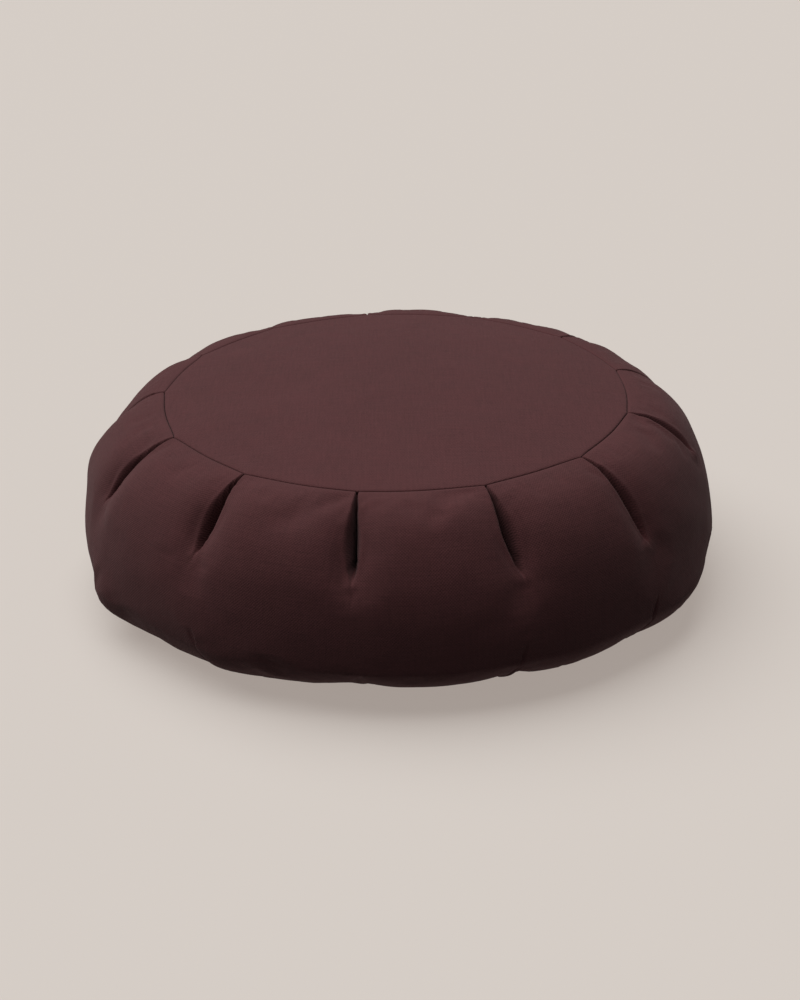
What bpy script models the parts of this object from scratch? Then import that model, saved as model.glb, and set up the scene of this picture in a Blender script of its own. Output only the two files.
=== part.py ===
"""Round pleated meditation cushion, lying on its base.

Three sewn pieces: a round top panel, a filled body wrapped in a side band that is pleated onto
both panels, and a round base panel. Metres, +Z up, origin on the floor under the middle of the
base panel. The front of the cushion is -Y, and azimuths run anticlockwise from +X.
"""

import math

import bmesh
import bpy

MM = 0.001

# Driving dimensions
CUSHION_RADIUS = 178.8 * MM
WIDEST_HEIGHT = 26 * MM
TOP_SEAM_RADIUS = 129.5 * MM
TOP_SEAM_HEIGHT = 107 * MM
CROWN_HEIGHT = 8 * MM
BASE_SEAM_RADIUS = 126 * MM
BASE_SEAM_HEIGHT = 3.6 * MM
FOOT_RADIUS = 108 * MM
CLOTH_THICKNESS = 2 * MM
PIECE_GAP = 0.3 * MM

# How full the band's section is between each seam and its widest level: 2 is an ellipse
UPPER_FULLNESS = 2.05
LOWER_FULLNESS = 1.7

# Each sewn edge turns down into its seam over this width and depth
SEAM_ROLL_WIDTH = 4 * MM
SEAM_ROLL_DEPTH = 1.3 * MM
SEAM_PULL_REACH = 9 * MM

# A pleat is a narrow slit inside a wide shallow valley, with a pucker where it runs out
SLIT_WIDTH_AT_SEAM = 1.3 * MM
SLIT_WIDTH = 4.2 * MM
SLIT_SHARPNESS = 2.4
VALLEY_WIDTH = 13 * MM
VALLEY_DEPTH = 2.4 * MM
PUCKER_HEIGHT = 1.4 * MM
PUCKER_WIDTH = 7 * MM
PUCKER_LENGTH = 5 * MM

# One row for each pleat, from the left of the cushion through its front, right and back.
# Angles in degrees, sizes in millimetres. Lean is how far the slit's lower end stands off its
# upper end, pull is how far the seam is drawn outwards there, puff is the swell of the cloth
# between this pleat and the next, and spread and hip are how far the whole section and its
# lower half stand out of round.
PLEAT_COLUMNS = (
    "top_azimuth", "top_length", "top_depth", "lean", "pull",
    "base_azimuth", "base_length", "base_depth", "puff", "spread", "hip",
)
PLEAT_ROWS = (
    (176, 56, 10, -4, 2.0, 181, 34, 6, 2.0, -2.5, 1.0),
    (205, 60, 11, -5, 3.0, 208, 36, 6, 0.8, -0.5, 4.0),
    (233, 57, 12, -2, 2.2, 236, 38, 7, 0.6, 0.0, 2.0),
    (261, 58, 12, 1, 1.0, 263, 33, 6, 1.0, 0.5, -1.0),
    (290, 61, 10, 2, 2.4, 289, 36, 6, 1.0, 0.5, -0.5),
    (317, 65, 9, 3, 3.0, 317, 38, 7, 1.0, 0.5, 1.5),
    (346, 52, 8, 3, 1.6, 346, 35, 6, 1.0, 0.0, 2.5),
    (374, 55, 9, 2, 2.2, 374, 37, 6, 1.5, 0.5, 0.5),
    (401, 60, 10, -2, 2.0, 403, 34, 6, 1.5, 1.0, 0.0),
    (429, 57, 11, -3, 2.6, 430, 36, 7, 1.5, 0.5, 0.5),
    (457, 62, 10, 2, 1.8, 456, 38, 6, 1.0, -0.5, 1.0),
    (484, 58, 11, 3, 2.4, 485, 35, 6, 1.5, -1.0, 0.0),
    (510, 54, 10, -2, 2.0, 512, 36, 7, 1.5, -2.5, 0.5),
)
PLEATS = [dict(zip(PLEAT_COLUMNS, row)) for row in PLEAT_ROWS]

# Where the mesh has its columns between one pleat, 0, and the next, 1
COLUMNS_IN_A_BAY = (0, 0.035, 0.075, 0.16, 0.32, 0.5, 0.68, 0.84, 0.925, 0.965)
COLUMN_COUNT = len(PLEATS) * len(COLUMNS_IN_A_BAY)

# Rows of the band, as shares of the way from the top seam to the widest level and on to the base
UPPER_ROWS = (0.015, 0.04, 0.09, 0.16, 0.25, 0.34, 0.43, 0.51, 0.57, 0.62, 0.68, 0.78, 0.89, 1)
LOWER_ROWS = (0.83, 0.66, 0.52, 0.38, 0.24, 0.13, 0.06, 0.02)
PANEL_ROWS = (0.988, 0.965, 0.92, 0.8, 0.6, 0.3)

CLOTH_COLOUR = (0.105, 0.043, 0.047, 1)
TOP_CLOTH_COLOUR = (0.112, 0.046, 0.050, 1)


def smooth_step(value):
    """0 below 0, 1 above 1, and a smooth rise between."""
    share = min(1, max(0, value))
    return share * share * (3 - 2 * share)


def clear_scene():
    for obj in list(bpy.data.objects):
        bpy.data.objects.remove(obj)


def cloth_material(name, colour):
    material = bpy.data.materials.new(name)
    material.diffuse_color = colour
    material.use_nodes = True
    shader = material.node_tree.nodes["Principled BSDF"]
    shader.inputs["Base Color"].default_value = colour
    shader.inputs["Roughness"].default_value = 0.9
    shader.inputs["Metallic"].default_value = 0
    return material


def quarter_section(share, seam_radius, seam_height, fullness):
    """A point of the band at this share of the way from a seam, 0, to the widest level, 1."""
    angle = share * math.pi / 2
    out = math.sin(angle) ** (2 / fullness)
    along = math.cos(angle) ** (2 / fullness)
    radius = seam_radius + (CUSHION_RADIUS - seam_radius) * out
    height = WIDEST_HEIGHT + (seam_height - WIDEST_HEIGHT) * along
    return radius, height


def upper_point(share):
    return quarter_section(share, TOP_SEAM_RADIUS, TOP_SEAM_HEIGHT, UPPER_FULLNESS)


def lower_point(share):
    return quarter_section(share, BASE_SEAM_RADIUS, BASE_SEAM_HEIGHT, LOWER_FULLNESS)


def path_length(point_at, share, steps=60):
    """Length of the section from its seam to this share of the way."""
    points = [point_at(share * step / steps) for step in range(steps + 1)]
    return sum(math.dist(a, b) for a, b in zip(points, points[1:]))


def outward_normal(point_at, share, height_sign):
    """Unit vector out of the cloth, as (radial, vertical), at this share of the section."""
    step = 0.004
    before = point_at(max(0.0, share - step))
    after = point_at(min(1.0, share + step))
    along_r, along_z = after[0] - before[0], after[1] - before[1]
    size = math.hypot(along_r, along_z)
    return -along_z * height_sign / size, along_r * height_sign / size


def seam_roll(distance):
    """How far a sewn edge is turned down at this distance from its seam."""
    share = min(1, distance / SEAM_ROLL_WIDTH)
    return SEAM_ROLL_DEPTH * (1 - math.sqrt(1 - (1 - share) ** 2))


def spin_section(name, section, material):
    """A closed body spun from (radius, height, part, share) rows that run from axis to axis."""
    mesh = bmesh.new()
    part_layer = mesh.verts.layers.int.new("part")
    share_layer = mesh.verts.layers.float.new("share")
    verts = []
    for radius, height, part, share in section:
        vert = mesh.verts.new((radius, 0, height))
        vert[part_layer] = part
        vert[share_layer] = share
        verts.append(vert)
    edges = [mesh.edges.new(pair) for pair in zip(verts, verts[1:])]
    bmesh.ops.spin(
        mesh, geom=verts + edges, cent=(0, 0, 0), axis=(0, 0, 1),
        angle=2 * math.pi, steps=COLUMN_COUNT, use_merge=True,
    )
    bmesh.ops.remove_doubles(mesh, verts=mesh.verts, dist=0.01 * MM)
    for vert in mesh.verts:
        shape_vert(vert, vert[part_layer], vert[share_layer])
    bmesh.ops.recalc_face_normals(mesh, faces=mesh.faces)
    if mesh.calc_volume(signed=True) < 0:
        bmesh.ops.reverse_faces(mesh, faces=mesh.faces)
    data = bpy.data.meshes.new(name)
    mesh.to_mesh(data)
    mesh.free()
    data.shade_smooth()
    data.set_sharp_from_angle(angle=math.radians(50))
    data.materials.append(material)
    obj = bpy.data.objects.new(name, data)
    bpy.context.scene.collection.objects.link(obj)
    return obj


# Parts of a section, which say how the pleats move it
UPPER_BAND, LOWER_BAND, TOP_DISC, BASE_DISC = range(4)


def bay_of(vert):
    """The pleat before this vertex of the even spin, the one after, and the share between."""
    column = round(math.atan2(vert.co.y, vert.co.x) / (2 * math.pi) * COLUMN_COUNT) % COLUMN_COUNT
    bay, place = divmod(column, len(COLUMNS_IN_A_BAY))
    before = PLEATS[bay]
    after = dict(PLEATS[(bay + 1) % len(PLEATS)])
    if bay + 1 == len(PLEATS):
        after["top_azimuth"] += 360
        after["base_azimuth"] += 360
    return before, after, COLUMNS_IN_A_BAY[place]


def mixed(before, after, share, key):
    return before[key] * (1 - share) + after[key] * share


def slit_azimuth(pleat, part, distance):
    """Azimuth of a pleat's middle line, in degrees, at this distance from its seam."""
    top_end = pleat["top_azimuth"] + pleat["lean"]
    if part == UPPER_BAND:
        run = distance / (pleat["top_length"] * MM)
        if run < 1:
            return pleat["top_azimuth"] + pleat["lean"] * run
        rest = UPPER_LENGTH - pleat["top_length"] * MM
        level = smooth_step((distance - pleat["top_length"] * MM) / rest / 2)
        return top_end + (pleat["base_azimuth"] - top_end) * level
    if part == LOWER_BAND:
        level = 0.5 + 0.5 * smooth_step(1 - distance / LOWER_LENGTH)
        return top_end + (pleat["base_azimuth"] - top_end) * level
    return pleat["top_azimuth"] if part == TOP_DISC else pleat["base_azimuth"]


def pleat_offset(pleat, edge, across, distance):
    """How far a pleat moves the cloth outwards, at a distance across it and from its seam."""
    length = pleat[edge + "_length"] * MM
    depth = pleat[edge + "_depth"] * MM
    run = distance / length
    opening = math.sin(math.pi * min(1, run)) ** 0.8 if run < 1 else 0
    width = SLIT_WIDTH_AT_SEAM + (SLIT_WIDTH - SLIT_WIDTH_AT_SEAM) * opening
    deepening = 0.12 + 0.88 * smooth_step(run / 0.3)
    fading = 1 - smooth_step((run - 0.5) / 0.5)
    slit = depth * deepening * fading * math.exp(-abs(across / width) ** SLIT_SHARPNESS)
    valley_fade = 1 - smooth_step((run - 0.6) / 1.2)
    valley_size = VALLEY_DEPTH * depth / (12 * MM)
    valley = valley_size * valley_fade * math.exp(-((across / VALLEY_WIDTH) ** 2))
    along_pucker = (distance - length - PUCKER_LENGTH) / PUCKER_LENGTH
    pucker = PUCKER_HEIGHT * math.exp(-(along_pucker**2) - (across / PUCKER_WIDTH) ** 2)
    return pucker - slit - valley


def seam_pull(before, after, share, radius):
    """How far the seam is drawn out of round, sharply at each pleat."""
    gap = math.radians(after["top_azimuth"] - before["top_azimuth"]) * radius
    reach_before = math.exp(-share * gap / SEAM_PULL_REACH)
    reach_after = math.exp(-(1 - share) * gap / SEAM_PULL_REACH)
    return (before["pull"] * reach_before + after["pull"] * reach_after) * MM


def shape_vert(vert, part, share):
    """Moves a vertex of the even spin to its place on the pleated cushion."""
    radius, height = math.hypot(vert.co.x, vert.co.y), vert.co.z
    before, after, between = bay_of(vert)
    if part in (TOP_DISC, BASE_DISC):
        azimuth = math.radians(
            slit_azimuth(before, part, 0) * (1 - between) + slit_azimuth(after, part, 0) * between
        )
        seam_radius = TOP_SEAM_RADIUS if part == TOP_DISC else BASE_SEAM_RADIUS
        near_rim = smooth_step((radius / seam_radius - 0.6) / 0.39)
        radius += seam_pull(before, after, between, seam_radius) * near_rim
        vert.co.xyz = radius * math.cos(azimuth), radius * math.sin(azimuth), height
        return
    upper = part == UPPER_BAND
    point_at = upper_point if upper else lower_point
    edge = "top" if upper else "base"
    distance = path_length(point_at, share)
    whole = UPPER_LENGTH if upper else LOWER_LENGTH
    azimuth_before = slit_azimuth(before, part, distance)
    azimuth_after = slit_azimuth(after, part, distance)
    bay_width = math.radians(azimuth_after - azimuth_before) * radius
    azimuth = math.radians(azimuth_before * (1 - between) + azimuth_after * between)
    offset = pleat_offset(before, edge, between * bay_width, distance)
    offset += pleat_offset(after, edge, (1 - between) * bay_width, distance)
    level = smooth_step(distance / whole)
    offset += before["puff"] * MM * math.sin(math.pi * between) ** 2 * level
    blend = smooth_step(between)
    offset += mixed(before, after, blend, "spread") * MM * level
    if not upper:
        low = math.sin(math.pi * distance / whole) ** 2
        offset += mixed(before, after, blend, "hip") * MM * low
    normal_r, normal_z = outward_normal(point_at, share, 1 if upper else -1)
    radius += seam_pull(before, after, between, radius) * math.exp(-distance / SEAM_PULL_REACH)
    radius += offset * normal_r
    height += offset * normal_z
    vert.co.xyz = radius * math.cos(azimuth), radius * math.sin(azimuth), height


def top_surface(share):
    """Height of the crowned top panel at this share of the seam's radius."""
    return TOP_SEAM_HEIGHT + CROWN_HEIGHT * (1 - share**2.3)


def base_surface(share):
    """Height of the base panel: flat on the floor, then turned up to its seam."""
    rise = max(0.0, share * BASE_SEAM_RADIUS - FOOT_RADIUS) / (BASE_SEAM_RADIUS - FOOT_RADIUS)
    return BASE_SEAM_HEIGHT * rise**2


def panel_rows(surface, seam_radius, part, inward, outer):
    """Rows across one face of a panel, centre first, turned down into the seam at its rim."""
    rows = [(0, surface(0), part, 0)]
    for share in reversed(PANEL_ROWS):
        roll = seam_roll((1 - share) * seam_radius) if outer else 0
        rows.append((share * seam_radius, surface(share) + inward * roll, part, share))
    rim = seam_radius - PIECE_GAP
    roll = SEAM_ROLL_DEPTH if outer else 0
    rows.append((rim, surface(1) + inward * roll, part, 1))
    return rows


def panel_section(surface, seam_radius, part, inward):
    """Section of a cloth panel: its outer face, its rim, and its inner face."""
    def inner_surface(share):
        return surface(share) + inward * CLOTH_THICKNESS

    outer = panel_rows(surface, seam_radius, part, inward, True)
    inner = panel_rows(inner_surface, seam_radius, part, inward, False)
    return outer + inner[::-1]


def recess_rows(surface, seam_radius, part, inward):
    """Rows of the seat that a panel lies in, centre first, up to the foot of its wall."""
    depth = inward * (CLOTH_THICKNESS + PIECE_GAP)
    rows = [(0, surface(0) + depth, part, 0)]
    rows += [(s * seam_radius, surface(s) + depth, part, s) for s in reversed(PANEL_ROWS)]
    rows.append((seam_radius, surface(1) + depth, part, 1))
    return rows


def band_rows(point_at, shares, part, inward):
    """Rows of the band's cloth, from its sewn edge onwards."""
    rows = []
    for share in shares:
        radius, height = point_at(share)
        roll = seam_roll(path_length(point_at, share))
        rows.append((radius, height + inward * roll, part, share))
    return rows


def band_section():
    """Section of the filled body: the top seat, the band's cloth, and the base seat."""
    rows = recess_rows(top_surface, TOP_SEAM_RADIUS, TOP_DISC, -1)
    rows += band_rows(upper_point, (0,) + UPPER_ROWS, UPPER_BAND, -1)
    rows += band_rows(lower_point, LOWER_ROWS + (0,), LOWER_BAND, 1)
    rows += recess_rows(base_surface, BASE_SEAM_RADIUS, BASE_DISC, 1)[::-1]
    return rows


UPPER_LENGTH = path_length(upper_point, 1)
LOWER_LENGTH = path_length(lower_point, 1)


def main():
    clear_scene()
    band_cloth = cloth_material("band_cloth", CLOTH_COLOUR)
    panel_cloth = cloth_material("panel_cloth", TOP_CLOTH_COLOUR)
    spin_section("pleated_body", band_section(), band_cloth)
    top = panel_section(top_surface, TOP_SEAM_RADIUS, TOP_DISC, -1)
    spin_section("top_panel", top, panel_cloth)
    base = panel_section(base_surface, BASE_SEAM_RADIUS, BASE_DISC, 1)
    spin_section("base_panel", base, panel_cloth)


main()
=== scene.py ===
import math
from functools import lru_cache

import bmesh
import bpy
from mathutils import Matrix, Vector, noise


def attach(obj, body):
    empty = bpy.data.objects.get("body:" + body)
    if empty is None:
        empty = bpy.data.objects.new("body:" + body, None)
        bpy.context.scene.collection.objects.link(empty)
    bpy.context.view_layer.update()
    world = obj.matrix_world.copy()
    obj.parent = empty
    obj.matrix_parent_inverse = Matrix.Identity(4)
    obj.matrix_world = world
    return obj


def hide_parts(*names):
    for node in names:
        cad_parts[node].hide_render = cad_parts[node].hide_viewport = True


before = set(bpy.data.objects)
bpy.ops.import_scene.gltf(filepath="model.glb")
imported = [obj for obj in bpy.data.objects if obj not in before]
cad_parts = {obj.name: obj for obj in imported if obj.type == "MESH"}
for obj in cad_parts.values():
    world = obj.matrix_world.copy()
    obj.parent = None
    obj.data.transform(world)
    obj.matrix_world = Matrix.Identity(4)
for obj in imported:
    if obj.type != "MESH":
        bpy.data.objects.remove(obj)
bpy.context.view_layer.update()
print("frame loaded:", len(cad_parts), "solids")

mm = 0.001

# the sewn form, in millimetres, as the solids have it
cushion = {
    "radius": 178.8,
    "widestHeight": 26.0,
    "upperFullness": 2.05,  # 2 is an ellipse
    "lowerFullness": 1.7,
    "topSeamRadius": 129.5,
    "topSeamHeight": 107.0,
    "crown": 8.0,
    "baseSeamRadius": 126.0,
    "baseSeamHeight": 3.6,
    "footRadius": 108.0,
    "cloth": 2.0,
    "gap": 0.3,
    "seamRoll": 2.3,  # width of the edge that turns down into the seam
    "seamDepth": 0.8,
    "pullReach": 9.0,  # how far from a pleat the seam is still drawn outwards
}

# one row a pleat, from the left through the front; angles in degrees, sizes in millimetres
pleatColumns = (
    "top", "length", "depth", "lean", "pull",
    "base", "baseLength", "baseDepth", "puff", "spread", "hip",
)
pleatRows = (
    (176, 56, 10, -4, 2.0, 181, 34, 6, 2.0, -2.5, 1.0),
    (205, 60, 11, -5, 3.0, 208, 36, 6, 0.8, -0.5, 4.0),
    (233, 57, 12, -2, 2.2, 236, 38, 7, 0.6, 0.0, 0.8),
    (261, 58, 12, 1, 1.0, 263, 33, 6, 1.0, 0.5, -1.0),
    (290, 61, 10, 2, 2.4, 289, 36, 6, 1.0, 0.5, -0.5),
    (317, 66, 8, 3, 3.0, 317, 38, 7, 1.0, 0.5, 2.0),
    (346, 50, 1.6, 3, 1.6, 346, 35, 6, 1.0, 0.0, 3.2),
    (374, 52, 4, 2, 1.6, 374, 37, 6, 1.5, 0.5, 0.5),
    (401, 56, 6, -2, 2.0, 403, 34, 6, 1.5, 1.0, 0.0),
    (429, 57, 11, -3, 2.6, 430, 36, 7, 1.5, 0.5, 0.5),
    (457, 62, 10, 2, 1.8, 456, 38, 6, 1.0, -0.5, 1.0),
    (484, 58, 11, 3, 2.4, 485, 35, 6, 1.5, -1.0, 0.0),
    (510, 54, 10, -2, 2.0, 512, 36, 7, 1.5, -2.5, 0.5),
)
pleats = [dict(zip(pleatColumns, row)) for row in pleatRows]

# how each pleat is folded
folding = {
    "seamWidth": 0.5,  # half width of the slit where it leaves the seam
    "width": 2.5,  # half width at its widest
    "opensLate": 1.35,  # above 1, the slit is widest below its middle
    "shallow": 0.16,  # share of its depth that it has at the seam
    "deepFrom": 0.3,  # shares of its length
    "fadesFrom": 0.62,
    "sharpness": 2.8,
    "deeper": 2.1,  # how much deeper the slit is than its low form in the solids
    "valleyWidth": 11.0,
    "valleyDepth": 4.6,
    "lipHeight": 0.45,
    "lipWidth": 2.2,
    "puckerHeight": 1.6,
    "puckerWidth": 4.2,
    "puckerLength": 4.0,
    "baseShare": 0.4,  # the cushion's weight flattens the lips and puckers at the base
    "columns": 44,  # mesh columns from one pleat to the next
    "crowding": 0.8,  # how closely the columns crowd towards the pleats
    "topRows": 52,
    "baseRows": 20,
}

# soft pulls in the cloth that start beside a pleat: azimuth and distance from the top seam of
# both ends, depth and width
pulls = (
    (259, 5, 243, 34, 2.2, 8),
    (288, 3, 276, 10, 1.2, 6),
    (231, 52, 236, 78, 1.0, 8),
    (199, 58, 214, 80, 0.9, 9),
    (319, 60, 330, 82, 0.9, 9),
    (293, 58, 284, 84, 0.9, 10),
    (346, 6, 334, 22, 1.0, 7),
    (20, 8, 30, 30, 1.2, 8),
    (70, 6, 82, 30, 1.3, 8),
    (97, 50, 108, 74, 1.0, 9),
    (150, 5, 139, 28, 1.3, 8),
)

# where the filling bulges or leaves the band slack: azimuth, distance from the top seam, rise,
# width around and width down
swellings = (
    (207, 108, 7.0, 22, 15),
    (236, 115, 2.8, 20, 14),
    (327, 109, 4.0, 50, 15),
    (178, 62, 3.2, 20, 18),
    (165, 31, -3.4, 15, 16),
)


def smoothStep(value):
    share = min(1.0, max(0.0, value))
    return share * share * (3 - 2 * share)


@lru_cache(maxsize=None)
def sectionPoint(upper, share):
    # from a seam, 0, to the widest level, 1
    seamRadius = cushion["topSeamRadius" if upper else "baseSeamRadius"]
    seamHeight = cushion["topSeamHeight" if upper else "baseSeamHeight"]
    fullness = cushion["upperFullness" if upper else "lowerFullness"]
    angle = share * math.pi / 2
    out = math.sin(angle) ** (2 / fullness)
    along = max(0.0, math.cos(angle)) ** (2 / fullness)
    radius = seamRadius + (cushion["radius"] - seamRadius) * out
    height = cushion["widestHeight"] + (seamHeight - cushion["widestHeight"]) * along
    return radius, height


@lru_cache(maxsize=None)
def distanceFromSeam(upper, share):
    points = [sectionPoint(upper, share * step / 60) for step in range(61)]
    return sum(math.dist(a, b) for a, b in zip(points, points[1:]))


upperLength = distanceFromSeam(True, 1.0)
lowerLength = distanceFromSeam(False, 1.0)


@lru_cache(maxsize=None)
def sectionNormal(upper, share):
    before = sectionPoint(upper, max(0.0, share - 0.004))
    after = sectionPoint(upper, min(1.0, share + 0.004))
    alongR, alongZ = after[0] - before[0], after[1] - before[1]
    size = math.hypot(alongR, alongZ) * (1 if upper else -1)
    return -alongZ / size, alongR / size


def sharesByDistance(upper, distances):
    # the shares of the section that lie at these distances from its seam
    shares = []
    for distance in distances:
        low, high = 0.0, 1.0
        for _ in range(40):
            middle = (low + high) / 2
            if distanceFromSeam(upper, middle) < distance:
                low = middle
            else:
                high = middle
        shares.append((low + high) / 2)
    distanceFromSeam.cache_clear()
    return shares


def seamRoll(distance):
    share = min(1.0, distance / cushion["seamRoll"])
    return cushion["seamDepth"] * (1 - math.sqrt(max(0.0, 1 - (1 - share) ** 2)))


def bayPlace(column):
    # the pleats on both sides of this mesh column, and the share of the way between them
    bay, step = divmod(column, folding["columns"])
    even = step / folding["columns"]
    share = even - folding["crowding"] * math.sin(2 * math.pi * even) / (2 * math.pi)
    before, after = pleats[bay], dict(pleats[(bay + 1) % len(pleats)])
    if bay + 1 == len(pleats):
        after["top"] += 360
        after["base"] += 360
    return before, after, share


def slitAzimuth(pleat, upper, distance):
    topEnd = pleat["top"] + pleat["lean"]
    if upper:
        run = distance / pleat["length"]
        if run < 1:
            return pleat["top"] + pleat["lean"] * run
        level = smoothStep((distance - pleat["length"]) / (upperLength - pleat["length"]) / 2)
    else:
        level = 0.5 + 0.5 * smoothStep(1 - distance / lowerLength)
    return topEnd + (pleat["base"] - topEnd) * level


def pleatRise(pleat, upper, across, distance):
    # how far this pleat lifts or sinks the cloth, across it and down from its seam
    length = pleat["length" if upper else "baseLength"]
    depth = pleat["depth" if upper else "baseDepth"]
    run = distance / length
    opening = math.sin(math.pi * run ** folding["opensLate"]) ** 1.2 if run < 1 else 0.0
    width = folding["seamWidth"] + (folding["width"] - folding["seamWidth"]) * opening
    shallow, fadesFrom = folding["shallow"], folding["fadesFrom"]
    sinking = shallow + (1 - shallow) * smoothStep(run / folding["deepFrom"])
    sinking *= 1 - smoothStep((run - fadesFrom) / (1 - fadesFrom))
    slit = depth * sinking * math.exp(-abs(across / width) ** folding["sharpness"])
    slit *= folding["deeper"] if upper else 1.0
    valley = folding["valleyDepth"] * depth / 12 * math.sin(math.pi * min(1.0, run / 1.35))
    valley *= math.exp(-((across / folding["valleyWidth"]) ** 2))
    lipAt = (abs(across) - width * 1.5) / folding["lipWidth"]
    lip = folding["lipHeight"] * sinking * math.exp(-lipAt * lipAt)
    past = (distance - length * 0.97) / folding["puckerLength"]
    aside = across / folding["puckerWidth"]
    pucker = folding["puckerHeight"] * math.exp(-past * past - aside**2)
    return (pucker + lip) * (1.0 if upper else folding["baseShare"]) - slit - valley


def seamPull(before, after, share, radius):
    gap = math.radians(after["top"] - before["top"]) * radius
    near = math.exp(-share * gap / cushion["pullReach"])
    far = math.exp(-(1 - share) * gap / cushion["pullReach"])
    return before["pull"] * near + after["pull"] * far


def arcBetween(azimuth, other, radius):
    # the shorter way round from the other azimuth to this one, in millimetres
    return math.radians((azimuth - other + 180) % 360 - 180) * radius


def softPull(azimuth, distance, radius):
    total = 0.0
    for startAngle, startRun, endAngle, endRun, depth, width in pulls:
        alongX, alongY = math.radians(endAngle - startAngle) * radius, endRun - startRun
        pointX, pointY = arcBetween(azimuth, startAngle, radius), distance - startRun
        length = math.hypot(alongX, alongY)
        run = (pointX * alongX + pointY * alongY) / (length * length)
        side = (pointX * alongY - pointY * alongX) / length
        if -0.4 < run < 1.4:
            fade = smoothStep((run + 0.15) / 0.35) * (1 - smoothStep((run - 0.5) / 0.7))
            spread = width * (0.5 + 0.7 * max(0.0, run))
            total -= depth * fade * math.exp(-((side / spread) ** 2))
    return total


def swellingRise(azimuth, down, radius):
    total = 0.0
    for middle, level, rise, around, deep in swellings:
        aside = arcBetween(azimuth, middle, radius) / around
        total += rise * math.exp(-aside * aside - ((down - level) / deep) ** 2)
    return total


# the cloth's own slackness, which no two bays share; sizes in millimetres
slackness = {
    "broadSize": 55,
    "broadRise": 1.5,
    "smallSize": 19,
    "smallRise": 0.35,
}


def unevenness(azimuth, radius, height):
    angle = math.radians(azimuth)
    place = Vector((radius * math.cos(angle), radius * math.sin(angle), height * 1.3))
    broad = noise.noise(place / slackness["broadSize"] + Vector((3.1, 7.7, 1.3)))
    small = noise.noise(place / slackness["smallSize"] + Vector((9.2, 2.4, 5.5)))
    return slackness["broadRise"] * broad + slackness["smallRise"] * small


topBand, baseBand, topDisc, baseDisc = range(4)


def putAt(vert, azimuth, radius, height):
    angle = math.radians(azimuth)
    vert.co = Vector((radius * math.cos(angle), radius * math.sin(angle), height)) * mm


def placePanelVert(vert, upper, radius, height, before, after, between):
    start, end = slitAzimuth(before, upper, 0.0), slitAzimuth(after, upper, 0.0)
    azimuth = start * (1 - between) + end * between
    rim = cushion["topSeamRadius" if upper else "baseSeamRadius"]
    radius += seamPull(before, after, between, rim) * smoothStep((radius / rim - 0.6) / 0.39)
    if upper:
        slack = 1 - smoothStep((radius / rim - 0.75) / 0.25)
        height += unevenness(azimuth, radius, cushion["topSeamHeight"]) * 0.4 * slack
    putAt(vert, azimuth, radius, height)


def placeVert(vert, part, share, column):
    radius, height = math.hypot(vert.co.x, vert.co.y) / mm, vert.co.z / mm
    before, after, between = bayPlace(column)
    if part in (topDisc, baseDisc):
        placePanelVert(vert, part == topDisc, radius, height, before, after, between)
        return
    upper = part == topBand
    distance = distanceFromSeam(upper, share)
    startAzimuth = slitAzimuth(before, upper, distance)
    endAzimuth = slitAzimuth(after, upper, distance)
    bayWidth = math.radians(endAzimuth - startAzimuth) * radius
    azimuth = startAzimuth * (1 - between) + endAzimuth * between
    rise = pleatRise(before, upper, between * bayWidth, distance)
    rise += pleatRise(after, upper, (1 - between) * bayWidth, distance)
    level = smoothStep(distance / (upperLength if upper else lowerLength))
    rise += before["puff"] * math.sin(math.pi * between) ** 2 * level
    blend = smoothStep(between)
    rise += (before["spread"] * (1 - blend) + after["spread"] * blend) * level
    if not upper:
        low = math.sin(math.pi * distance / lowerLength) ** 2
        rise += (before["hip"] * (1 - blend) + after["hip"] * blend) * low
    away = smoothStep(distance / 18)
    rise += unevenness(azimuth, radius, height) * away
    down = distance if upper else upperLength + lowerLength - distance
    rise += swellingRise(azimuth, down, radius)
    if upper:
        rise += softPull(azimuth, distance, radius) * smoothStep(distance / 6)
    outward, upward = sectionNormal(upper, share)
    radius += seamPull(before, after, between, radius) * math.exp(-distance / cushion["pullReach"])
    putAt(vert, azimuth, radius + rise * outward, height + rise * upward)


def topSurface(share):
    return cushion["topSeamHeight"] + cushion["crown"] * (1 - share**2.3)


def baseSurface(share):
    foot = cushion["footRadius"]
    run = max(0.0, share * cushion["baseSeamRadius"] - foot) / (cushion["baseSeamRadius"] - foot)
    return cushion["baseSeamHeight"] * run**2


def panelSection(surface, seamRadius, part, inward):
    # outer face from the middle to the rim, then the inner face back to the middle
    shares = [step / 26 for step in range(26)] + [0.982, 0.988, 0.993, 0.997]
    rows = [(0.0, surface(0.0), part, 0.0)]
    for share in shares[1:]:
        sink = seamRoll((1 - share) * seamRadius)
        rows.append((share * seamRadius, surface(share) + inward * sink, part, share))
    rim = seamRadius - cushion["gap"]
    rows.append((rim, surface(1.0) + inward * cushion["seamDepth"], part, 1.0))
    inner = surface(1.0) + inward * cushion["cloth"]
    rows.append((rim, inner, part, 1.0))
    for share in (0.9, 0.6, 0.3):
        height = surface(share) + inward * cushion["cloth"]
        rows.append((share * seamRadius, height, part, share))
    rows.append((0.0, surface(0.0) + inward * cushion["cloth"], part, 0.0))
    return rows


def seatRows(surface, seamRadius, part, inward):
    depth = inward * (cushion["cloth"] + cushion["gap"])
    rows = [(s * seamRadius, surface(s) + depth, part, s) for s in (0.0, 0.3, 0.6, 0.8, 0.92, 0.98)]
    return rows + [(seamRadius, surface(1.0) + depth, part, 1.0)]


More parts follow.
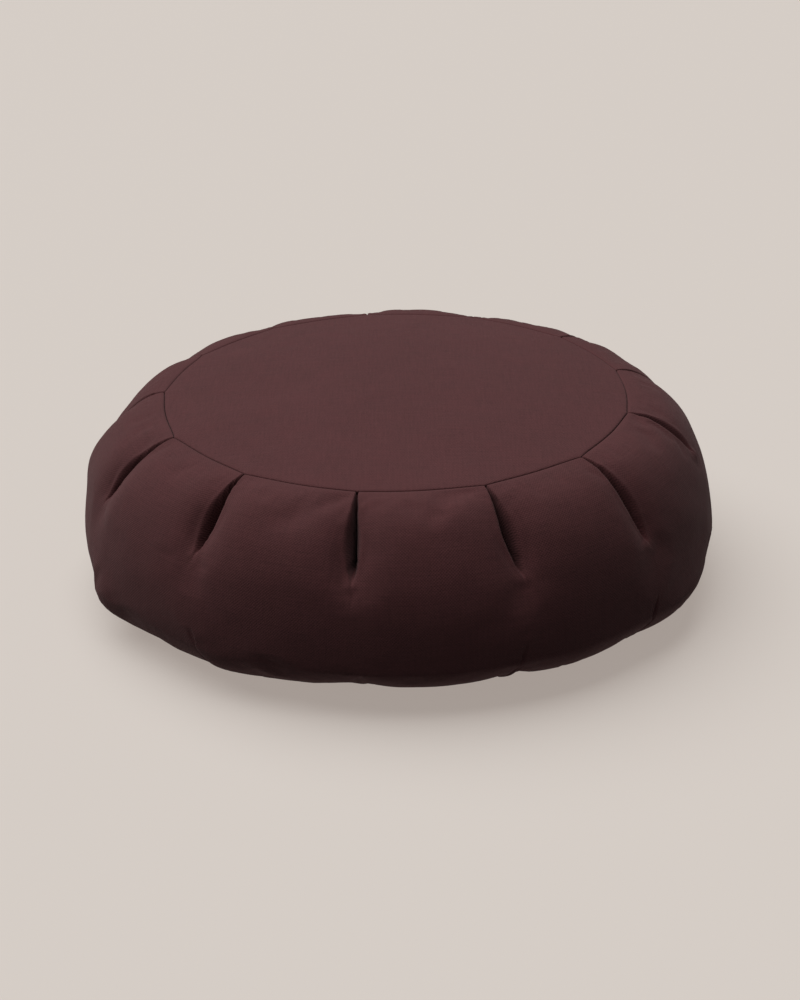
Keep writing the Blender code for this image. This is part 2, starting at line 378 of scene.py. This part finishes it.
def bodySection():
    # distances from the seams, closest together where the cloth turns into them
    seamSteps = [0.0, 0.35, 0.8, 1.3, 2.0, 3.0, 4.3]
    first, topRows, baseRows = seamSteps[-1], folding["topRows"], folding["baseRows"]
    topSteps = seamSteps + [
        first + (upperLength - first) * step / topRows for step in range(1, topRows + 1)
    ]
    baseSteps = [
        first + (lowerLength - first) * step / baseRows for step in range(baseRows - 1, 0, -1)
    ]
    baseSteps += [first, 2.6, 1.3, 0.5, 0.0]
    rows = seatRows(topSurface, cushion["topSeamRadius"], topDisc, -1)
    for part, steps, upper, inward in (
        (topBand, topSteps, True, -1),
        (baseBand, baseSteps, False, 1),
    ):
        for distance, share in zip(steps, sharesByDistance(upper, steps)):
            radius, height = sectionPoint(upper, share)
            rows.append((radius, height + inward * seamRoll(distance), part, share))
    return rows + seatRows(baseSurface, cushion["baseSeamRadius"], baseDisc, 1)[::-1]


def sortKey(item):
    # spinning leaves the order of edges and faces to chance, and the press of the cloth goes by it
    indices = sorted(vert.index for vert in item.verts)
    return (indices[0] * 65536 + indices[1]) * 65536 + indices[-1]


def spinPiece(name, rows):
    # spins the section, then moves every point of the even spin to its place
    mesh = bmesh.new()
    partOf = mesh.verts.layers.int.new("part")
    shareOf = mesh.verts.layers.float.new("share")
    line = []
    for radius, height, part, share in rows:
        vert = mesh.verts.new((radius * mm, 0, height * mm))
        vert[partOf], vert[shareOf] = part, share
        line.append(vert)
    edges = [mesh.edges.new(pair) for pair in zip(line, line[1:])]
    columns = len(pleats) * folding["columns"]
    bmesh.ops.spin(
        mesh, geom=line + edges, cent=(0, 0, 0), axis=(0, 0, 1),
        angle=2 * math.pi, steps=columns, use_merge=True,
    )
    bmesh.ops.remove_doubles(mesh, verts=mesh.verts, dist=0.00002)
    bmesh.ops.recalc_face_normals(mesh, faces=mesh.faces)
    if mesh.calc_volume(signed=True) < 0:
        bmesh.ops.reverse_faces(mesh, faces=mesh.faces)
    mesh.verts.index_update()
    mesh.edges.sort(key=sortKey)
    mesh.faces.sort(key=sortKey)
    columnOf = {}
    for vert in mesh.verts:
        turn = math.atan2(vert.co.y, vert.co.x) / (2 * math.pi) * columns
        columnOf[vert] = round(turn) % columns
    layCloth(mesh, columnOf, partOf, shareOf)
    for vert in mesh.verts:
        placeVert(vert, vert[partOf], vert[shareOf], columnOf[vert])
    data = bpy.data.meshes.new(name)
    mesh.to_mesh(data)
    mesh.free()
    for edge in data.edges:
        edge.vertices = sorted(edge.vertices)
    data.shade_smooth()
    piece = bpy.data.objects.new(name, data)
    bpy.context.scene.collection.objects.link(piece)
    return piece


def layCloth(mesh, columnOf, partOf, shareOf):
    # a flat map of the cut cloth, in millimetres, so the weave follows each piece
    cut = mesh.loops.layers.uv.new("cloth")
    columns = len(pleats) * folding["columns"]
    for face in mesh.faces:
        firsts = [columnOf[vert] for vert in face.verts if vert.co.xy.length > 0.0001]
        wraps = max(firsts) - min(firsts) > columns / 2
        bay = (min(firsts) if not wraps else columns - 1) // folding["columns"]
        before, after, _ = bayPlace(bay * folding["columns"])
        middle = (before["top"] + after["top"]) / 2
        for loop in face.loops:
            vert = loop.vert
            part, share = vert[partOf], vert[shareOf]
            radius = vert.co.xy.length / mm
            column = columnOf[vert]
            atEnd = column == (bay + 1) * folding["columns"] % columns
            between = 1.0 if atEnd else bayPlace(column)[2]
            if part in (topDisc, baseDisc):
                azimuth = before["top"] * (1 - between) + after["top"] * between
                angle = math.radians(azimuth)
                loop[cut].uv = radius * math.cos(angle), radius * math.sin(angle)
                continue
            upper = part == topBand
            distance = distanceFromSeam(upper, share)
            start = slitAzimuth(before, upper, distance)
            end = slitAzimuth(after, upper, distance)
            azimuth = start * (1 - between) + end * between
            along = math.radians(middle) * cushion["radius"]
            along += math.radians(azimuth - middle) * radius
            down = distance if upper else upperLength + lowerLength - distance
            loop[cut].uv = along, down


def finishPiece(piece, node):
    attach(piece, "root")
    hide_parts(node)


# the cloth's settling under the press of its filling
settling = {
    "frames": 20,
    "pressure": 4.0,
    "fabricMass": 0.012,
    "stretch": 18,
    "shear": 8,
    "bending": 0.6,
    "fullness": 0.012,  # how much larger the cloth is cut than the space it covers
    "topHold": 10,  # millimetres from a seam within which the cloth is held less and less
    "baseHold": 14,
    "floorHold": 4,  # nothing lower than this moves
    "furthest": 3.0,  # millimetres
    "swelling": 1.8,  # millimetres that the press adds at the widest level, taken off at the start
    "drawing": 2.8,  # millimetres that it takes off below that level, added at the start
}


def settlingStart(vert, upper, share):
    level = distanceFromSeam(upper, share) / (upperLength if upper else lowerLength)
    rise = -settling["swelling"] * smoothStep(level)
    if not upper:
        rise += settling["drawing"] * math.sin(math.pi * level) ** 2
    outward, upward = sectionNormal(upper, share)
    sideways = Vector((vert.co.x, vert.co.y, 0)).normalized()
    vert.co += (sideways * outward + Vector((0, 0, upward))) * rise * mm


def holdCloth(piece, places, parts, shares):
    # the seams, the seats of the panels and all that lies on the floor are held
    held = piece.vertex_groups.new(name="held")
    for index, place in enumerate(places):
        grip = 1.0
        if parts[index] in (topBand, baseBand) and place.z >= settling["floorHold"] * mm:
            upper = parts[index] == topBand
            distance = distanceFromSeam(upper, shares[index])
            grip = 1 - smoothStep((distance - 1) / settling["topHold" if upper else "baseHold"])
        if grip > 0.01:
            held.add([index], grip, "REPLACE")
    return held


def pressCloth(piece):
    # the places of all points after the press
    cloth = piece.modifiers.new("Settling", "CLOTH")
    fabric = cloth.settings
    fabric.quality = 5
    fabric.mass = settling["fabricMass"]
    fabric.tension_stiffness = fabric.compression_stiffness = settling["stretch"]
    fabric.shear_stiffness = settling["shear"]
    fabric.bending_stiffness = settling["bending"]
    fabric.use_pressure = True
    fabric.uniform_pressure_force = settling["pressure"]
    fabric.vertex_group_mass = "held"
    fabric.shrink_min = -settling["fullness"]
    fabric.effector_weights.gravity = 0
    cloth.point_cache.frame_end = settling["frames"]
    for moment in range(1, settling["frames"] + 1):
        bpy.context.scene.frame_set(moment)
    graph = bpy.context.evaluated_depsgraph_get()
    moved = piece.evaluated_get(graph).to_mesh()
    places = [vert.co.copy() for vert in moved.vertices]
    piece.evaluated_get(graph).to_mesh_clear()
    piece.modifiers.remove(cloth)
    return places


def settle(piece):
    parts = [item.value for item in piece.data.attributes["part"].data]
    shares = [item.value for item in piece.data.attributes["share"].data]
    for vert, part, share in zip(piece.data.vertices, parts, shares):
        if part in (topBand, baseBand):
            settlingStart(vert, part == topBand, share)
    before = [vert.co.copy() for vert in piece.data.vertices]
    held = holdCloth(piece, before, parts, shares)
    loose = sum(part in (topBand, baseBand) for part in parts)
    print("settling", loose, "loose points of", len(before))
    after = pressCloth(piece)
    furthest = 0.0
    for vert, old, new in zip(piece.data.vertices, before, after):
        step = new - old
        furthest = max(furthest, step.length)
        if step.length > settling["furthest"] * mm:
            step *= settling["furthest"] * mm / step.length
        vert.co = old + step
    piece.vertex_groups.remove(held)
    bpy.context.scene.frame_set(1)
    print("cloth settled, furthest", round(furthest / mm, 2), "mm")


body = spinPiece("pleatedBody", bodySection())
settle(body)
finishPiece(body, "pleated_body")
topSection = panelSection(topSurface, cushion["topSeamRadius"], topDisc, -1)
topPanel = spinPiece("topPanel", topSection)
finishPiece(topPanel, "top_panel")
baseSection = panelSection(baseSurface, cushion["baseSeamRadius"], baseDisc, 1)
basePanel = spinPiece("basePanel", baseSection)
finishPiece(basePanel, "base_panel")
print("cushion shaped:", sum(len(piece.data.polygons) for piece in (body, topPanel, basePanel)))


class Number:
    # a shader socket that takes part in sums
    def __init__(self, finish, socket):
        self.finish, self.socket = finish, socket

    def work(self, operation, *values):
        sockets = {index: value for index, value in enumerate(values)}
        return self.finish.node("ShaderNodeMath", {"operation": operation}, sockets)

    def __add__(self, other):
        return self.work("ADD", self, other)

    def __sub__(self, other):
        return self.work("SUBTRACT", self, other)

    def __rsub__(self, other):
        return self.work("SUBTRACT", other, self)

    def __mul__(self, other):
        return self.work("MULTIPLY", self, other)

    def __truediv__(self, other):
        return self.work("DIVIDE", self, other)

    __radd__, __rmul__ = __add__, __mul__

    def sine(self):
        return self.work("SINE", self)

    def clamped(self):
        return self.work("MINIMUM", self.work("MAXIMUM", self, 0.0), 1.0)


class Finish:
    def __init__(self, name):
        self.material = bpy.data.materials.new(name)
        self.material.use_nodes = True
        self.tree = self.material.node_tree
        self.shader = self.tree.nodes["Principled BSDF"]

    def node(self, kind, settings, sockets, output=0):
        made = self.tree.nodes.new(kind)
        for name, value in settings.items():
            setattr(made, name, value)
        for name, value in sockets.items():
            if isinstance(value, Number):
                self.tree.links.new(value.socket, made.inputs[name])
            else:
                made.inputs[name].default_value = value
        return Number(self, made.outputs[output])

    def noise(self, place, scale, detail=3.0, stretch=(1.0, 1.0, 1.0)):
        placed = self.node("ShaderNodeMapping", {}, {"Vector": place, "Scale": stretch})
        sockets = {"Vector": placed, "Scale": scale, "Detail": detail, "Roughness": 0.55}
        return self.node("ShaderNodeTexNoise", {}, sockets)

    def mixed(self, share, one, other):
        settings = {"data_type": "RGBA"}
        return self.node("ShaderNodeMix", settings, {0: share, 6: one, 7: other}, output=2)

    def bump(self, height, strength, distance, under=None):
        sockets = {"Height": height, "Strength": strength, "Distance": distance}
        if under:
            sockets["Normal"] = under
        return self.node("ShaderNodeBump", {}, sockets)

    def feed(self, name, value):
        if isinstance(value, Number):
            self.tree.links.new(value.socket, self.shader.inputs[name])
        else:
            self.shader.inputs[name].default_value = value


# dyed cotton canvas; the thread is in millimetres, bump depths in metres, colours linear
canvas = {
    "thread": 0.8,
    "threadDrift": 1.2,
    "driftScale": 0.09,
    "dyeingScale": 14.0,
    "patchScale": 70.0,
    "fuzzScale": 1500.0,
    "crumpleScale": 45.0,
    "deep": (0.050, 0.0131, 0.0140, 1),
    "dye": (0.0825, 0.0229, 0.0247, 1),
    "faded": (0.119, 0.0376, 0.0395, 1),
    "roughness": 0.9,
    "specular": 0.25,
    "sheen": 0.07,
    "sheenRoughness": 0.55,
    "sheenTint": (0.85, 0.62, 0.62, 1),
    "crumpleDepth": 0.0016,
    "grainDepth": 0.0003,
    "weaveDepth": 0.00022,
}


def cottonCanvas(name):
    cotton = Finish(name)
    cut = cotton.node("ShaderNodeUVMap", {"uv_map": "cloth"}, {})
    across = cotton.node("ShaderNodeSeparateXYZ", {}, {"Vector": cut})
    down = Number(cotton, across.socket.node.outputs[1])
    drift = (cotton.noise(cut, canvas["driftScale"], 2.0) - 0.5) * canvas["threadDrift"]
    turn = math.pi / canvas["thread"]
    warp = ((across + drift) * turn).sine()
    weft = ((down + drift) * turn).sine()
    weave = warp * weft * 0.5 + 0.5  # threads pass over and under each other
    slubWarp = cotton.noise(cut, 1.0, 2.0, (0.9, 0.05, 1.0))
    slubWeft = cotton.noise(cut, 1.0, 2.0, (0.05, 0.9, 1.0))
    slubs = (slubWarp + slubWeft) * 0.5
    place = cotton.node("ShaderNodeTexCoord", {}, {}, output=3)  # object coordinates
    dyeing = cotton.noise(place, canvas["dyeingScale"], 4.0)
    patches = cotton.noise(place, canvas["patchScale"], 3.0)
    fuzz = cotton.noise(place, canvas["fuzzScale"], 2.0)
    lightness = (dyeing - 0.5) * 0.7 + (patches - 0.5) * 0.5 + (slubs - 0.5) * 1.8 + 0.5
    colour = cotton.mixed(lightness.clamped(), canvas["deep"], canvas["dye"])
    worn = ((fuzz - 0.5) * 1.1 + (weave - 0.5) * 0.35 + 0.18).clamped()
    cotton.feed("Base Color", cotton.mixed(worn, colour, canvas["faded"]))
    cotton.feed("Roughness", ((patches - 0.5) * 0.1 + canvas["roughness"]).clamped())
    cotton.feed("Sheen Weight", canvas["sheen"])
    cotton.feed("Sheen Roughness", canvas["sheenRoughness"])
    cotton.feed("Sheen Tint", canvas["sheenTint"])
    cotton.feed("Specular IOR Level", canvas["specular"])
    creases = cotton.noise(place, canvas["crumpleScale"], 3.0)
    crumple = cotton.bump(creases, 0.35, canvas["crumpleDepth"])
    grain = cotton.bump(slubs + fuzz * 0.5, 0.5, canvas["grainDepth"], crumple)
    cotton.feed("Normal", cotton.bump(weave, 0.45, canvas["weaveDepth"], grain))
    return cotton.material


bandCanvas = cottonCanvas("bandCanvas")
panelCanvas = cottonCanvas("panelCanvas")
body.data.materials.append(bandCanvas)
topPanel.data.materials.append(panelCanvas)
basePanel.data.materials.append(panelCanvas)
print("cotton laid")


# the studio: one very large soft lamp overhead, a little to the left and behind
studio = {
    "floor": (0.281, 0.270, 0.257, 1),
    "floorGlow": (0.370, 0.320, 0.290, 1),  # keeps the shadow as light as the photograph has it
    "floorRadius": 14,  # metres
    "floorRoughness": 0.95,
    "floorSpecular": 0.1,
    "lamp": 3.35,
    "lampColour": (1, 0.995, 0.985),
    "lampSpread": 70,  # degrees, as the next two
    "lampLeft": 18.5,
    "lampBack": 13,
    "room": (0.76, 1.0, 1.0, 1),
    "roomStrength": 0.085,
}


def paleFloor():
    mesh = bmesh.new()
    bmesh.ops.create_circle(mesh, cap_ends=True, radius=studio["floorRadius"], segments=64)
    data = bpy.data.meshes.new("floor")
    mesh.to_mesh(data)
    mesh.free()
    floor = bpy.data.objects.new("floor", data)
    bpy.context.scene.collection.objects.link(floor)
    floor.visible_diffuse = False  # no light comes back up from it
    paint = Finish("floorPaint")
    paint.feed("Base Color", studio["floor"])
    paint.feed("Roughness", studio["floorRoughness"])
    paint.feed("Specular IOR Level", studio["floorSpecular"])
    paint.feed("Emission Color", studio["floorGlow"])
    paint.feed("Emission Strength", 1.0)
    data.materials.append(paint.material)


def softLamp():
    lamp = bpy.data.lights.new("softLamp", "SUN")
    lamp.energy = studio["lamp"]
    lamp.angle = math.radians(studio["lampSpread"])
    lamp.color = studio["lampColour"]
    holder = bpy.data.objects.new("softLamp", lamp)
    back, left = math.radians(studio["lampBack"]), math.radians(-studio["lampLeft"])
    holder.rotation_euler = (-back, left, 0)
    bpy.context.scene.collection.objects.link(holder)


def room():
    world = bpy.data.worlds.new("studio")
    world.use_nodes = True
    light = world.node_tree.nodes["Background"]
    light.inputs["Color"].default_value = studio["room"]
    light.inputs["Strength"].default_value = studio["roomStrength"]
    bpy.context.scene.world = world
    bpy.context.scene.view_settings.view_transform = "Standard"


paleFloor()
softLamp()
room()

# the camera, where the photograph was taken from; metres, degrees, lens and sensor in millimetres
view = {
    "distance": 1.26,
    "elevation": 24.57,
    "roll": 0.915,
    "aim": 0.0535,  # height of the point it looks at
    "lens": 79.2,
    "sensor": 36,
    "shift": (0.0029, -0.0194),
}


def placeCamera():
    camera = bpy.data.objects.new("camera", bpy.data.cameras.new("camera"))
    camera.data.lens = view["lens"]
    camera.data.sensor_width = view["sensor"]
    camera.data.shift_x, camera.data.shift_y = view["shift"]
    up = math.radians(view["elevation"])
    reach = view["distance"]
    place = Vector((0, -reach * math.cos(up), view["aim"] + reach * math.sin(up)))
    turn = Matrix.Rotation(math.radians(90 - view["elevation"]), 4, "X")
    roll = Matrix.Rotation(math.radians(-view["roll"]), 4, "Z")
    camera.matrix_world = Matrix.Translation(place) @ turn @ roll
    bpy.context.scene.collection.objects.link(camera)
    bpy.context.scene.camera = camera


placeCamera()
print("studio lit")
